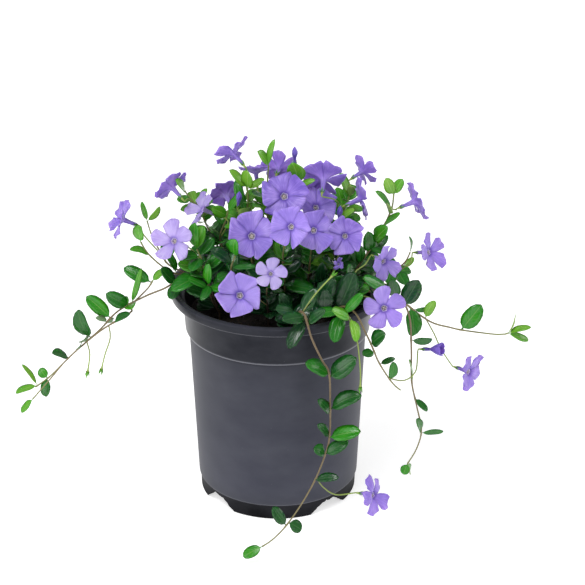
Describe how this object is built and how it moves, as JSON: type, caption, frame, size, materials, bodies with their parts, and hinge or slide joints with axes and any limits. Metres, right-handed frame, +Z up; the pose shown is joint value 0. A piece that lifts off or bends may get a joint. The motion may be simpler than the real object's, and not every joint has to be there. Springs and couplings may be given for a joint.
{
  "type": "potted lesser periwinkle",
  "caption": "Flowering lesser periwinkle in a nursery pot: leafy stems arch over the rim and trail, with five-petalled violet flowers on thin stalks.",
  "frame": {"origin": "middle of the pot's underside, on the surface that it stands on", "axes": "+Z up, -Y towards the front, +X to the right along the plant's widest spread"},
  "size_m": [0.358, 0.2179, 0.2638],
  "materials": {
    "pot": "satin charcoal",
    "soil": "matt potting soil",
    "leaf": "waxy leaf",
    "petal": "soft violet petal",
    "petal_pale": "soft lilac petal",
    "petal_dark": "dark violet bud"
  },
  "bodies": {
    "root": {"pot": "pot", "soil": "soil", "runner_left": "leaf", "shoot_left": "leaf", "shoot_left_back": "leaf", "shoot_left_inner": "leaf", "shoot_left_front": "leaf", "shoot_top_left": "leaf", "shoot_top": "leaf", "shoot_middle": "leaf", "shoot_middle_left": "leaf", "shoot_middle_front": "leaf", "shoot_middle_right": "leaf", "shoot_top_right": "leaf", "shoot_right_high": "leaf", "shoot_right_side": "leaf", "shoot_right_inner": "leaf", "shoot_right_tall": "leaf", "shoot_right_far": "leaf", "shoot_right_low": "leaf", "shoot_front": "leaf", "tuft_rim_right": "leaf", "runner_right": "leaf", "runner_hanging": "leaf", "runner_loop": "leaf", "runner_front": "leaf", "runner_back": "leaf", "shoot_back_left": "leaf", "shoot_back_right": "leaf", "flower_left_far": "petal", "flower_left_back": "petal", "flower_left_front": "petal_pale", "flower_left_inner": "petal_pale", "flower_top_left": "petal", "flower_top_middle": "petal", "flower_top_back": "petal", "flower_middle_high": "petal", "flower_middle_left": "petal", "flower_middle_front": "petal", "flower_middle_right": "petal", "flower_middle_behind": "petal", "flower_top_right": "petal", "flower_right_high": "petal", "flower_right_side": "petal", "flower_right_inner": "petal", "flower_right_faded": "petal_dark", "flower_right_tall": "petal", "flower_right_far": "petal", "flower_right_low": "petal", "flower_right_front": "petal", "flower_front_small": "petal_pale", "flower_front_large": "petal", "flower_loop_shut": "petal_dark", "flower_runner_right": "petal", "flower_runner_front": "petal", "flower_back_left": "petal", "flower_back_right": "petal", "bud_top": "petal_dark", "bud_left": "petal_dark", "bud_right": "petal_dark"}
  },
  "joints": []
}
